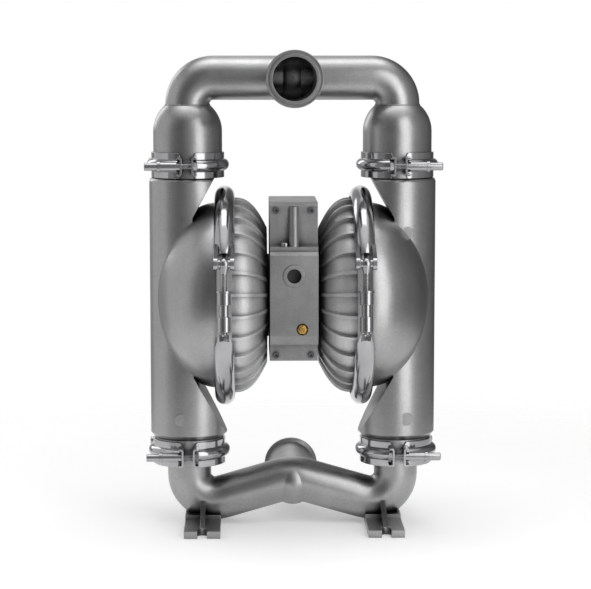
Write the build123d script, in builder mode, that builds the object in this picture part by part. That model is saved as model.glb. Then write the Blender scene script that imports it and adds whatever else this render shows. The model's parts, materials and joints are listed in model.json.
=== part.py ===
from build123d import *

import os
from math import acos, cos, degrees, radians, sin, sqrt, tan

# Air operated double diaphragm pump built from clamped stainless castings. Millimetres, +Z up.
# The origin is on the floor under the middle of the pump. X runs along the diaphragm shaft,
# the discharge port faces -Y and the inlet port faces +Y.

os.makedirs("parts", exist_ok=True)

# ---- Overall layout ----
pump_axis_z = 324.0  # height of the diaphragm shaft
column_x = 146.3  # vertical liquid column on each side
discharge_z = 628.0  # centreline of the top pipe
inlet_port_z = 57.5  # centreline of the bottom port
top_joint_z = 508.0  # mid-plane of the discharge joints
bottom_joint_z = 104.5  # mid-plane of the inlet joints
clamp_plane_x = 95.0  # plane in which each diaphragm is pinched
port_reach = 126.0  # ferrule faces, in front of and behind the pump axis

# ---- Pipework ----
tube_od = 61.4
tube_wall = 4.0
bend_radius = 36.0
bell_od = 96.0
bell_wall = 5.0
bell_shoulder_z = 554.0  # the bell is cylindrical below this height and spherical above
arm_slope = 16.0  # fall of the inlet arms towards the columns, in degrees
arm_elbow_z = 21.8  # corner of each inlet elbow
arm_apex_radius = 60.0
port_od = 66.0
port_bore = 59.2
ferrule_od = 77.5
ferrule_rim = 3.0  # straight edge of the ferrule
ferrule_cone = 2.2  # length of the conical back
ferrule_groove_mid = 35.3  # mean radius of the gasket groove
ferrule_groove_width = 3.2
ferrule_groove_depth = 1.2

# ---- Manifold joints ----
flange_od = 108.2
flange_edge = 4.0  # half thickness of the joint at its rim
flange_back = 6.7  # half thickness of the joint at the foot of its cone
seat_rim = 4.0  # thickness of the valve seat's rim, pinched between the flanges
hub_od = 96.0  # neck of the flange
joint_clearance = 0.3  # band to flange
band_sheet = 2.6
band_height = 35.0
band_bead_reach = 57.5
band_bead_height = 17.0
band_notch = 5.0  # how much further the band's edges stand back from the gap than its bead

# ---- Clamp ears, bolts and nuts of the manifold joints ----
ear_gap = 13.0  # space between a pair of ears
ear_web = 2.5
ear_lip = 8.0
ear_height = 26.0
ear_root = 49.5
ear_reach = 74.0
ear_corner = 3.4
clamp_bolt_y = 66.0
clamp_bolt_d = 8.0
clamp_bolt_head = 13.0
clamp_bolt_head_height = 5.5
clamp_nut_d = 13.0
clamp_nut_collar_d = 15.5
clamp_nut_tip_d = 11.0
clamp_nut_barrel = 27.0
clamp_nut_collar = 4.0
clamp_nut_tip = 18.0
thread_clearance = 0.05

# ---- Check valves ----
ball_d = 60.0
ball_lift = 13.0
ball_rest_height = 22.0  # ball centre above the joint plane
ball_clearance = 0.3
seat_bore = 46.0
seat_hub_d = 80.0
seat_hub_height = 11.0  # above the joint plane
seal_section = 3.0
seal_groove_clearance = 0.1
seal_radius = 46.5
cage_rib = 5.0
cage_clearance = 1.0  # guide ribs to ball
cage_arm = 5.0

# ---- Liquid chambers ----
column_od = 108.0
chamber_wall = 5.0
column_foot_z = 124.0  # the column widens above this height
column_foot_rise = 7.0
column_top_z = 484.0  # the column narrows above this height
waist_low = ((94.1, 132.7), (126.7, 192.3))  # lower slanted face, in front view
waist_high = ((127.1, 457.8), (109.0, 490.3))  # upper slanted face, in front view
waist_reach = 12.0
dome_step = 19.0  # dome below the rim of the diaphragm joint
dome_depth = 86.0
dome_start_x = 105.0
pad_d = 17.4
pad_rise = 0.8
pad_x = 157.0
pad_z = 155.0
high_pad_z = 415.0  # on one face of the casting only

# ---- Diaphragm joint ----
rim_r = 149.0
rim_edge = 4.3  # half thickness of the joint at its rim
rim_back = 10.1  # half thickness at the foot of its cone
rim_cone = 8.5  # rise of its conical face
bead_space = 5.0  # gap between the chamber faces, filled by the diaphragm's bead
chamber_band_width = 28.0
band_crown = 5.0  # band outside the rim
band_shoulder_drop = 8.0  # where the band's round back starts, inside the rim
band_lip_drop = 9.5
band_nose_width = 13.4  # narrow upper end of the lower half
band_nose_angle = -23.0  # the lower half has its full width below this angle
band_low_angle = -13.0  # lower end of the front gap, seen from the pump axis
band_high_angle = 28.0  # upper end of the front gap

# ---- T-bolts of the chamber clamps ----
tee_mid_angle = 5.0
tee_half_angle = 16.0
tee_bolt_d = 8.0
tee_head_d = 12.0
tee_head_length = 26.0
tee_knob_d = 16.0
tee_knob_cone_d = 14.0
tee_knob_taper = 9.0  # length of the cone from the knob to the bolt
tee_nut_d = 19.0
tee_collar_d = 21.5
tee_neck_d = 13.0
tee_nut_start = 36.0  # along the bolt, from the centre of its head
tee_collar = 2.6
tee_sleeve = 16.0
tee_neck = 16.0
tee_barrel_d = 18.0
tee_barrel = 20.0
tee_standoff = 1.0  # nut to flange rim
lug_thickness = 5.5
lug_gap = 17.0

# ---- Air chambers ----
air_face_x = 36.3
air_hub_step = 54.0  # hub of the dish below the rim of the diaphragm joint
air_rim_step = 12.0
air_rim_x = 80.0
rib_height = 7.0
rib_thickness = 4.4
rib_count = 28
air_wall = 5.0
air_floor_x = 46.0
air_bore_r = 30.0
air_flank_turn = 22.0  # how far the flank's curve holds its end directions

# ---- Centre block and air valve ----
block_width = 66.0
block_depth = 120.0
block_bottom_z = 240.5
block_top_z = 459.0
block_boss_r = 58.0
gasket = 1.0
plate_thickness = 9.0
head_shelf = 59.0  # top of the head below the top of the block
head_bottom_z = 264.7
head_face_y = 100.0  # in front of the pump axis
head_face_drop = 11.0  # top of the front face below the top of the head
head_face_bottom_z = 278.3
head_ridge_y = 90.0
head_lip = 6.4  # height of the recess along the top of the head
head_step = 2.0
plate_chamfer = 4.5
block_corner = 5.0
block_shaft_gap = 1.0
screw_x = 24.0
screw_high_drop = 10.5  # below the top of the block
screw_low_rise = 8.0  # above its foot
screw_d = 5.0
screw_head_d = 8.5
screw_head_height = 4.5
screw_socket_d = 4.0
screw_length = 30.0
gusset_width = 13.5
gusset_drop = 7.0  # below the top of the block
air_inlet_z = 361.0
air_inlet_d = 19.6
air_inlet_boss_d = 31.0
air_inlet_boss_rise = 1.5
air_inlet_depth = 11.0
brass_plug_x = 11.0
brass_plug_z = 288.0
brass_plug_d = 11.6
brass_plug_pocket_d = 16.0
brass_plug_pocket_depth = 3.0
brass_plug_rise = 5.0
brass_plug_shank_d = 9.0
brass_plug_shank = 5.0
cap_x = -12.4
cap_y = 82.0
cap_d = 10.6
cap_rise = 5.5
cap_shank_d = 8.0
cap_shank = 9.0
cap_round = 2.0
spool_y = 80.5
spool_d = 14.0
spool_travel = 16.0
spool_roof = 29.3  # metal above the sleeve
spool_waist_d = 8.0
sleeve_wall = 2.0
sleeve_port_d = 6.0
sleeve_port_spacing = 0.34  # of the spool's length
spool_land = 12.0
running_fit = 0.05
end_cap_plug = 8.0
end_cap_socket = 6.0
muffler_z = 300.0
muffler_d = 46.0
muffler_length = 78.0
muffler_neck_d = 26.0
muffler_neck = 12.0
muffler_thread = 16.0
muffler_crown = 8.0

# ---- Shaft, plates and diaphragms ----
shaft_d = 25.0
stud_d = 20.0
plate_thick = 12.0
inner_plate_r = 58.0
outer_plate_r = 60.0
outer_plate_dome = 14.0
diaphragm_thickness = 4.4
diaphragm_gap = 0.3
diaphragm_bead_high_r = 148.0
diaphragm_arch_depth = 12.0
bushing_d = 34.0
bushing_length = 22.0
seal_length = 6.0
shaft_fit = 0.05
chamber_screw_r = 44.0
chamber_screw_d = 10.0
chamber_screw_head_d = 16.0
chamber_screw_head = 8.0
chamber_screw_grip = 18.0

# ---- Feet ----
foot_x = 127.0
foot_width = 50.0
foot_length = 220.0
foot_thickness = 10.0
foot_slot_width = 13.2
foot_slot_depth = 20.0
foot_rib = 6.2
foot_rib_front = 90.0
foot_rib_top_y = 28.0
foot_rib_top_z = 37.0
saddle_height = 15.0
saddle_length = 64.0

# ---- Values worked out from the sizes above ----
tube_r = tube_od / 2
tube_bore_r = tube_r - tube_wall
port_r = port_od / 2
port_bore_r = port_bore / 2
ferrule_r = ferrule_od / 2
bell_r = bell_od / 2
bell_bore_r = bell_r - bell_wall
flange_r = flange_od / 2
hub_r = hub_od / 2
ball_r = ball_d / 2
column_r = column_od / 2
cage_r = ball_r + cage_clearance
cage_height = ball_rest_height + ball_lift + ball_r + ball_clearance + cage_arm
column_axis = Axis((column_x, 0, 0), (0, 0, 1))
pump_axis = Axis((0, 0, pump_axis_z), (1, 0, 0))
side_view = Plane((0, 0, pump_axis_z), x_dir=(1, 0, 0), z_dir=(0, -1, 0))
dome_r = rim_r - dome_step
rim_foot_r = rim_r - rim_cone
air_hub_r = rim_r - air_hub_step
air_rim_r = rim_r - air_rim_step
chamber_band_r = rim_r + band_crown
chamber_band_shoulder_r = rim_r - band_shoulder_drop
chamber_band_lip_r = rim_r - band_lip_drop
tee_mid_r = rim_r + tee_nut_d / 2 + tee_standoff
tee_pin_r = tee_mid_r / cos(radians(tee_half_angle))
plate_back_y = block_depth / 2 + gasket
plate_front_y = plate_back_y + plate_thickness
block_face_x = air_face_x - gasket
head_top_z = block_top_z - head_shelf
head_step_z = head_top_z - head_lip
head_face_top_z = head_top_z - head_face_drop
screw_high_z = block_top_z - screw_high_drop
screw_low_z = block_bottom_z + screw_low_rise
gusset_top_z = block_top_z - gusset_drop
spool_length = head_top_z - spool_roof - spool_travel - end_cap_plug - head_bottom_z
ear_x = ear_gap / 2


def write_pair(piece, name, turned=False):
    """Writes a piece drawn on the right-hand side, and its mirror image (or itself, turned) on the left."""
    with BuildPart() as right:
        add(piece)
    right.part.label = f"{name}_right"
    export_step(right.part, f"parts/{name}_right.step")
    with BuildPart() as left:
        if turned:
            add(piece.rotate(Axis.Z, 180))
        else:
            mirror(piece, about=Plane.YZ)
    left.part.label = f"{name}_left"
    export_step(left.part, f"parts/{name}_left.step")


def joint_flange(joint_z, up):
    """A conical-backed flange on the right-hand column, above (up=1) or below (up=-1) a joint."""
    with BuildPart() as flange:
        with BuildSketch(Plane.XZ):
            with BuildLine():
                Polyline(
                    (column_x, joint_z + up * seat_rim / 2),
                    (column_x + flange_r, joint_z + up * seat_rim / 2),
                    (column_x + flange_r, joint_z + up * flange_edge),
                    (column_x + hub_r, joint_z + up * flange_back),
                    (column_x, joint_z + up * flange_back),
                    close=True,
                )
            make_face()
        revolve(axis=column_axis)
    return flange.part


def round_bar(points, radii, radius):
    """A round bar of the given radius along straight runs joined by arcs, in the front view."""
    with BuildPart() as bar:
        with BuildLine(Plane.XZ) as route:
            FilletPolyline(*points, radius=radii)
        with BuildSketch(Plane(route.line @ 0, z_dir=route.line % 0)):
            Circle(radius)
        sweep(path=route.line)
    return bar.part


def port_tee(port_z, toward):
    """A ball tee with a neck and a clamp ferrule, facing -Y (toward=-1) or +Y (toward=1)."""
    with BuildPart() as tee:
        with BuildSketch(Plane.YZ):
            with BuildLine():
                Polyline(
                    (0, port_z + port_r),
                    (toward * (port_reach - ferrule_rim - ferrule_cone), port_z + port_r),
                    (toward * (port_reach - ferrule_rim), port_z + ferrule_r),
                    (toward * port_reach, port_z + ferrule_r),
                    (toward * port_reach, port_z),
                    (-toward * port_r, port_z),
                )
                CenterArc((0, port_z), port_r, 90, toward * 90)
            make_face()
        revolve(axis=Axis((0, 0, port_z), (0, 1, 0)))
    return tee.part


def port_hollow(port_z, toward):
    """The bore of a ball tee, with the gasket groove of its ferrule."""
    with BuildPart() as hollow:
        with BuildSketch(Plane.YZ):
            with BuildLine():
                Polyline(
                    (0, port_z + port_bore_r),
                    (toward * port_reach, port_z + port_bore_r),
                    (toward * port_reach, port_z),
                    (-toward * port_bore_r, port_z),
                )
                CenterArc((0, port_z), port_bore_r, 90, toward * 90)
            make_face()
        revolve(axis=Axis((0, 0, port_z), (0, 1, 0)))
        with BuildSketch(Plane.XZ.offset(-toward * port_reach)):
            with Locations((0, port_z)):
                Circle(ferrule_groove_mid + ferrule_groove_width / 2)
                Circle(ferrule_groove_mid - ferrule_groove_width / 2, mode=Mode.SUBTRACT)
        extrude(amount=toward * ferrule_groove_depth)
    return hollow.part


def ball_cage(joint_z, reach):
    """Four guide ribs round a check ball, joined by a cross that stops it at the top."""
    ball_high_z = joint_z + ball_rest_height + ball_lift
    with BuildPart() as cage:
        with BuildSketch(Plane.XY.offset(joint_z + seat_hub_height + ball_clearance)):
            with Locations((column_x, 0)):
                Rectangle(2 * reach, cage_rib, rotation=45)
                Rectangle(2 * reach, cage_rib, rotation=-45)
        extrude(amount=cage_height - seat_hub_height - ball_clearance)
        with BuildSketch(Plane.XY.offset(joint_z)):
            with Locations((column_x, 0)):
                Circle(cage_r)
        extrude(amount=ball_high_z - joint_z, mode=Mode.SUBTRACT)
        with Locations((column_x, 0, ball_high_z)):
            Sphere(ball_r + ball_clearance, mode=Mode.SUBTRACT)
            Cylinder(ball_r / 3, 2 * ball_r, mode=Mode.SUBTRACT)
    return cage.part


# ---- Discharge manifold ----
def bell(tube_radius, bell_radius, low_z):
    """A solid bell about the right-hand column, from a low face to its neck."""
    rise = sqrt(bell_radius**2 - tube_radius**2)
    neck_angle = degrees(acos(tube_radius / bell_radius))
    with BuildPart() as form:
        with BuildSketch(Plane.XZ):
            with BuildLine():
                Polyline(
                    (column_x + bell_radius, bell_shoulder_z),
                    (column_x + bell_radius, low_z),
                    (column_x, low_z),
                    (column_x, bell_shoulder_z + rise),
                    (column_x + tube_radius, bell_shoulder_z + rise),
                )
                CenterArc((column_x, bell_shoulder_z), bell_radius, 0, neck_angle)
            make_face()
        revolve(axis=column_axis)
    return form.part


top_route = [(0, discharge_z), (column_x, discharge_z), (column_x, bell_shoulder_z)]

with BuildPart() as discharge_cavity:
    add(round_bar(top_route, bend_radius, tube_bore_r))
    add(bell(tube_bore_r, bell_bore_r, top_joint_z))
    mirror(about=Plane.YZ)
    add(port_hollow(discharge_z, -1))

with BuildPart() as discharge_cage:
    add(bell(tube_bore_r + ball_clearance, bell_bore_r + ball_clearance, top_joint_z))
    add(ball_cage(top_joint_z, bell_r), mode=Mode.INTERSECT)

with BuildPart() as discharge_manifold:
    add(round_bar(top_route, bend_radius, tube_r))
    add(bell(tube_r, bell_r, top_joint_z + flange_edge))
    add(joint_flange(top_joint_z, 1))
    mirror(about=Plane.YZ)
    add(port_tee(discharge_z, -1))
    add(discharge_cavity.part, mode=Mode.SUBTRACT)
    add(discharge_cage.part)
    mirror(discharge_cage.part, about=Plane.YZ)
discharge_manifold.part.label = "discharge_manifold"
export_step(discharge_manifold.part, "parts/discharge_manifold.step")


# ---- Inlet manifold ----
arm_apex_z = arm_elbow_z + column_x * tan(radians(arm_slope))
arm_radii = [bend_radius, arm_apex_radius, bend_radius]


def inlet_route(top_z):
    """Corners of the inlet arms' centreline, in the front view."""
    right_arm = [(column_x, top_z), (column_x, arm_elbow_z), (0, arm_apex_z)]
    return right_arm + [(-column_x, arm_elbow_z), (-column_x, top_z)]


with BuildPart() as inlet_manifold:
    with BuildSketch(Plane.XY):
        with Locations((foot_x, 0)):
            Rectangle(foot_width, foot_length)
        with Locations((foot_x, foot_length / 2), (foot_x, -foot_length / 2)):
            SlotOverall(2 * foot_slot_depth, foot_slot_width, rotation=90, mode=Mode.SUBTRACT)
    extrude(amount=foot_thickness)
    with BuildSketch(Plane.XY):
        with Locations((foot_x, 0)):
            Rectangle(foot_width, saddle_length)
    extrude(amount=saddle_height)
    with BuildSketch(Plane.YZ.offset(foot_x)):
        with BuildLine():
            Polyline(
                (-foot_rib_front, foot_thickness / 2),
                (-foot_rib_front, foot_thickness),
                (-foot_rib_top_y, foot_rib_top_z),
                (foot_rib_top_y, foot_rib_top_z),
                (foot_rib_front, foot_thickness),
                (foot_rib_front, foot_thickness / 2),
                close=True,
            )
        make_face()
    extrude(amount=foot_rib / 2, both=True)
    add(joint_flange(bottom_joint_z, -1))
    mirror(about=Plane.YZ)
    add(round_bar(inlet_route(bottom_joint_z - flange_edge), arm_radii, tube_r))
    add(port_tee(inlet_port_z, 1))
    add(round_bar(inlet_route(bottom_joint_z), arm_radii, tube_bore_r), mode=Mode.SUBTRACT)
    add(port_hollow(inlet_port_z, 1), mode=Mode.SUBTRACT)
inlet_manifold.part.label = "inlet_manifold"
export_step(inlet_manifold.part, "parts/inlet_manifold.step")


# ---- Liquid chambers ----
def column(inset, low_z, high_z):
    """The right-hand column, narrower at its two necks, drawn inset by a wall thickness."""
    neck_r = hub_r - inset
    wide_r = column_r - inset
    with BuildPart() as form:
        with BuildSketch(Plane.XZ):
            with BuildLine():
                Polyline(
                    (column_x, high_z),
                    (column_x, low_z),
                    (column_x + neck_r, low_z),
                    (column_x + neck_r, column_foot_z),
                    (column_x + wide_r, column_foot_z + column_foot_rise),
                    (column_x + wide_r, column_top_z),
                )
                CenterArc((column_x + neck_r, column_top_z), wide_r - neck_r, 0, 90)
                Polyline(
                    (column_x + neck_r, column_top_z + wide_r - neck_r),
                    (column_x + neck_r, high_z),
                    (column_x, high_z),
                )
            make_face()
        revolve(axis=column_axis)
        # the waist leaves room for the round clamp beside the column
        low_slope = (waist_low[1][0] - waist_low[0][0]) / (waist_low[1][1] - waist_low[0][1])
        high_slope = (waist_high[0][0] - waist_high[1][0]) / (waist_high[1][1] - waist_high[0][1])
        with BuildSketch(Plane.XZ):
            with BuildLine():
                Polyline(
                    (waist_low[0][0] - waist_reach, waist_low[0][1] - waist_reach / low_slope),
                    (waist_low[1][0] + waist_reach, waist_low[1][1] + waist_reach / low_slope),
                    (waist_high[0][0] + waist_reach, waist_high[0][1] - waist_reach / high_slope),
                    (waist_high[1][0] - waist_reach, waist_high[1][1] + waist_reach / high_slope),
                    (0, waist_high[1][1] + waist_reach / high_slope),
                    (0, waist_low[0][1] - waist_reach / low_slope),
                    close=True,
                )
            make_face()
            if inset:
                offset(amount=inset, kind=Kind.INTERSECTION)
        extrude(amount=column_r, both=True, mode=Mode.SUBTRACT)
    return form.part


def dome(inset, start_x):
    """The domed cover of the right-hand liquid chamber, about the pump axis."""
    rise = dome_r - inset
    with BuildPart() as form:
        with BuildSketch(side_view):
            with BuildLine():
                Polyline(
                    (dome_start_x + dome_depth - inset, 0),
                    (start_x, 0),
                    (start_x, rise),
                    (dome_start_x, rise),
                )
                EllipticalCenterArc(
                    (dome_start_x, 0), dome_depth - inset, rise, start_angle=0, arc_size=90
                )
            make_face()
        revolve(axis=pump_axis)
    return form.part


def chamber_rim(outward, inner_r):
    """Half of the big clamped joint: the liquid chamber's (1) or the air chamber's (-1) rim."""
    with BuildPart() as rim:
        with BuildSketch(side_view):
            with BuildLine():
                Polyline(
                    (clamp_plane_x + outward * bead_space / 2, inner_r),
                    (clamp_plane_x + outward * bead_space / 2, rim_r),
                    (clamp_plane_x + outward * rim_edge, rim_r),
                    (clamp_plane_x + outward * rim_back, rim_foot_r),
                    (clamp_plane_x + outward * rim_back, inner_r),
                    close=True,
                )
            make_face()
        revolve(axis=pump_axis)
    return rim.part


with BuildPart() as chamber_cavity:
    add(column(chamber_wall, bottom_joint_z, top_joint_z))
    add(dome(chamber_wall, clamp_plane_x))

with BuildPart() as chamber_cage:
    add(column(chamber_wall - ball_clearance, bottom_joint_z, top_joint_z))
    add(ball_cage(bottom_joint_z, column_r), mode=Mode.INTERSECT)

with BuildPart() as liquid_chamber:
    add(column(0, bottom_joint_z + flange_edge, top_joint_z - flange_edge))
    add(dome(0, clamp_plane_x + bead_space / 2))
    add(chamber_rim(1, dome_r - chamber_wall))
    add(joint_flange(top_joint_z, -1))
    add(joint_flange(bottom_joint_z, 1))
    pad_face_y = (column_r**2 - (pad_x - column_x) ** 2) ** 0.5 + pad_rise
    with BuildSketch(Plane.XZ.offset(pad_face_y)):
        with Locations((pad_x, pad_z), (pad_x, high_pad_z)):
            Circle(pad_d / 2)
    extrude(amount=-chamber_wall)
    with BuildSketch(Plane.XZ.offset(-pad_face_y)):
        with Locations((pad_x, pad_z)):
            Circle(pad_d / 2)
    extrude(amount=chamber_wall)
    add(chamber_cavity.part, mode=Mode.SUBTRACT)
    add(chamber_cage.part)
write_pair(liquid_chamber.part, "liquid_chamber", turned=True)


# ---- Air chambers ----
def air_dish(floor_x, inset):
    """Solid of revolution from a floor to the clamp plane, its flank drawn inset."""
    hub_point = (floor_x, air_hub_r - inset)
    rim_point = (air_rim_x, air_rim_r - inset)
    with BuildPart() as form:
        with BuildSketch(side_view):
            with BuildLine():
                Polyline(
                    rim_point,
                    (clamp_plane_x - bead_space / 2, air_rim_r - inset),
                    (clamp_plane_x - bead_space / 2, 0),
                    (floor_x, 0),
                    hub_point,
                )
                Bezier(
                    hub_point,
                    (floor_x + air_flank_turn / 2, hub_point[1] + air_flank_turn),
                    (air_rim_x - air_flank_turn, rim_point[1]),
                    rim_point,
                )
            make_face()
        revolve(axis=pump_axis)
    return form.part


rib_planes = [
    Plane((0, 0, pump_axis_z), x_dir=(1, 0, 0), z_dir=(0, -cos(turn), sin(turn)))
    for turn in [radians(360 / rib_count * (index + 0.5)) for index in range(rib_count)]
]

with BuildPart() as air_chamber:
    with BuildSketch(*rib_planes):
        with BuildLine():
            Polyline(
                (air_rim_x, air_rim_r),
                (clamp_plane_x - rim_back, air_rim_r),
                (clamp_plane_x - rim_back, air_hub_r - rib_height),
                (air_face_x, air_hub_r - 2 * rib_height),
                (air_face_x, air_hub_r),
            )
            Bezier(
                (air_face_x, air_hub_r),
                (air_face_x + air_flank_turn / 2, air_hub_r + air_flank_turn),
                (air_rim_x - air_flank_turn, air_rim_r),
                (air_rim_x, air_rim_r),
            )
        make_face()
    extrude(amount=rib_thickness / 2, both=True)
    add(air_dish(air_face_x, rib_height))
    add(chamber_rim(-1, air_rim_r - rib_height))
    add(air_dish(air_floor_x, rib_height + air_wall), mode=Mode.SUBTRACT)
    with BuildSketch(Plane.YZ.offset(air_face_x)):
        with Locations((0, pump_axis_z)):
            Circle(air_bore_r)
            with PolarLocations(chamber_screw_r, 4, start_angle=45):
                Circle(chamber_screw_d / 2 + thread_clearance)
    extrude(amount=air_floor_x - air_face_x, mode=Mode.SUBTRACT)
write_pair(air_chamber.part, "air_chamber")


# ---- Clamps of the manifold joints ----
def clamp_groove(joint_z):
    """The space inside a manifold clamp: a plain bore with a groove for the pair of flanges."""
    lip_r = hub_r + joint_clearance
    edge = flange_edge + joint_clearance
    back = flange_back + joint_clearance
    with BuildPart() as groove:
        with BuildSketch(Plane.XZ):
            with BuildLine():
                Polyline(
                    (column_x, joint_z - band_height),
                    (column_x + lip_r, joint_z - band_height),
                    (column_x + lip_r, joint_z - back),
                    (column_x + flange_r + joint_clearance, joint_z - edge),
                    (column_x + flange_r + joint_clearance, joint_z + edge),
                    (column_x + lip_r, joint_z + back),
                    (column_x + lip_r, joint_z + band_height),
                    (column_x, joint_z + band_height),
                    close=True,
                )
            make_face()
        revolve(axis=column_axis)
    return groove.part


def manifold_clamp_half(joint_z):
    """The outward half of a right-hand manifold clamp: a pressed band with a pair of ears."""
    land_r = hub_r + joint_clearance + band_sheet
    with BuildPart() as half:
        with BuildSketch(Plane.XZ):
            with BuildLine():
                Polyline(
                    (column_x + land_r, joint_z + band_bead_height / 2),
                    (column_x + land_r, joint_z + band_height / 2),
                    (column_x + hub_r / 2, joint_z + band_height / 2),
                    (column_x + hub_r / 2, joint_z - band_height / 2),
                    (column_x + land_r, joint_z - band_height / 2),
                    (column_x + land_r, joint_z - band_bead_height / 2),
                )
                ThreePointArc(
                    (column_x + land_r, joint_z - band_bead_height / 2),
                    (column_x + band_bead_reach, joint_z),
                    (column_x + land_r, joint_z + band_bead_height / 2),
                )
            make_face()
        revolve(axis=column_axis)
        with BuildSketch(Plane.XZ):
            with BuildLine():
                Polyline(
                    (column_x - 2 * hub_r, joint_z - band_height),
                    (column_x + ear_x + band_notch, joint_z - band_height),
                    (column_x + ear_x + band_notch, joint_z - band_height / 2),
                    (column_x + ear_x, joint_z - band_bead_height / 2),
                    (column_x + ear_x, joint_z + band_bead_height / 2),
                    (column_x + ear_x + band_notch, joint_z + band_height / 2),
                    (column_x + ear_x + band_notch, joint_z + band_height),
                    (column_x - 2 * hub_r, joint_z + band_height),
                    close=True,
                )
            make_face()
        extrude(amount=band_height * 2, both=True, mode=Mode.SUBTRACT)
        with BuildSketch(Plane.XZ.offset(ear_root)):
            with Locations((column_x + ear_x + ear_lip / 2, joint_z)):
                RectangleRounded(ear_lip, ear_height, ear_corner)
            with Locations((column_x + ear_x + ear_lip / 2 + ear_web, joint_z)):
                RectangleRounded(ear_lip, ear_height - 2 * ear_web, ear_corner / 2, mode=Mode.SUBTRACT)
        extrude(amount=ear_reach - ear_root)
        mirror(about=Plane.XZ)
        with BuildSketch(Plane.YZ.offset(column_x)):
            with Locations((clamp_bolt_y, joint_z), (-clamp_bolt_y, joint_z)):
                Circle(clamp_bolt_d / 2 + joint_clearance)
        extrude(amount=ear_x + ear_lip, mode=Mode.SUBTRACT)
        add(clamp_groove(joint_z), mode=Mode.SUBTRACT)
    return half.part


bolt_seat_x = column_x + ear_x + ear_web  # outward face of the outward ears
head_seat_x = column_x - ear_x - ear_web
nut_length = clamp_nut_barrel + clamp_nut_collar + clamp_nut_tip
bolt_places = [
    (0, side_y, joint_z)
    for joint_z in (top_joint_z, bottom_joint_z)
    for side_y in (clamp_bolt_y, -clamp_bolt_y)
]

for joint_name, joint_z in (("top", top_joint_z), ("bottom", bottom_joint_z)):
    outer_half = manifold_clamp_half(joint_z)
    write_pair(outer_half, f"{joint_name}_clamp_outer")
    write_pair(outer_half.mirror(Plane.YZ.offset(column_x)), f"{joint_name}_clamp_inner")

with BuildPart() as manifold_clamp_bolts:
    for place in bolt_places:
        with BuildSketch(Plane.YZ.offset(head_seat_x)):
            with Locations(place[1:]):
                RegularPolygon(clamp_bolt_head / 2, 6, major_radius=False)
        extrude(amount=-clamp_bolt_head_height)
        with BuildSketch(Plane.YZ.offset(head_seat_x)):
            with Locations(place[1:]):
                Circle(clamp_bolt_d / 2)
        extrude(amount=bolt_seat_x - head_seat_x + nut_length - clamp_nut_tip / 2)
    mirror(about=Plane.YZ)
manifold_clamp_bolts.part.label = "manifold_clamp_bolts"
export_step(manifold_clamp_bolts.part, "parts/manifold_clamp_bolts.step")

with BuildPart() as clamp_nut:
    with BuildSketch(Plane.XZ):
        with BuildLine():
            Polyline(
                (bolt_seat_x, 0),
                (bolt_seat_x, clamp_nut_d / 2),
                (bolt_seat_x + clamp_nut_barrel, clamp_nut_d / 2),
                (bolt_seat_x + clamp_nut_barrel, clamp_nut_collar_d / 2),
                (bolt_seat_x + clamp_nut_barrel + clamp_nut_collar, clamp_nut_collar_d / 2),
                (bolt_seat_x + clamp_nut_barrel + clamp_nut_collar, clamp_nut_tip_d / 2),
                (bolt_seat_x + nut_length - 1, clamp_nut_tip_d / 2),
                (bolt_seat_x + nut_length, clamp_nut_tip_d / 2 - 1),
                (bolt_seat_x + nut_length, 0),
                close=True,
            )
        make_face()
    revolve(axis=Axis.X)
    with BuildSketch(Plane.YZ.offset(bolt_seat_x)):
        Circle(clamp_bolt_d / 2 + thread_clearance)
    extrude(amount=nut_length - clamp_nut_tip / 2 + thread_clearance, mode=Mode.SUBTRACT)

with BuildPart() as manifold_clamp_nuts:
    for place in bolt_places:
        add(clamp_nut.part.moved(Location(place)))
    mirror(about=Plane.YZ)
manifold_clamp_nuts.part.label = "manifold_clamp_nuts"
export_step(manifold_clamp_nuts.part, "parts/manifold_clamp_nuts.step")


# ---- Clamps of the diaphragm joints ----
def around_axis(radius, angle):
    """A point at a radius and angle about the pump axis, in side view, at the front."""
    return (-radius * cos(radians(angle)), pump_axis_z + radius * sin(radians(angle)))


tee_top = around_axis(tee_pin_r, tee_mid_angle + tee_half_angle)
tee_low = around_axis(tee_pin_r, tee_mid_angle - tee_half_angle)
tee_direction = Vector(0, tee_low[0] - tee_top[0], tee_low[1] - tee_top[1])
tee_plane = Plane((clamp_plane_x, *tee_top), x_dir=(1, 0, 0), z_dir=tee_direction)
tee_nut_end = tee_nut_start + tee_collar + tee_sleeve
tee_barrel_start = tee_nut_end + tee_neck
tee_end = tee_barrel_start + tee_barrel

with BuildPart() as chamber_groove:
    edge = rim_edge + joint_clearance
    back = rim_back + joint_clearance
    with BuildSketch(side_view):
        with BuildLine():
            Polyline(
                (clamp_plane_x - back, air_rim_r),
                (clamp_plane_x - back, rim_foot_r),
                (clamp_plane_x - edge, rim_r + joint_clearance),
                (clamp_plane_x + edge, rim_r + joint_clearance),
                (clamp_plane_x + back, rim_foot_r),
                (clamp_plane_x + back, air_rim_r),
                close=True,
            )
        make_face()
    revolve(axis=pump_axis)


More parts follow.
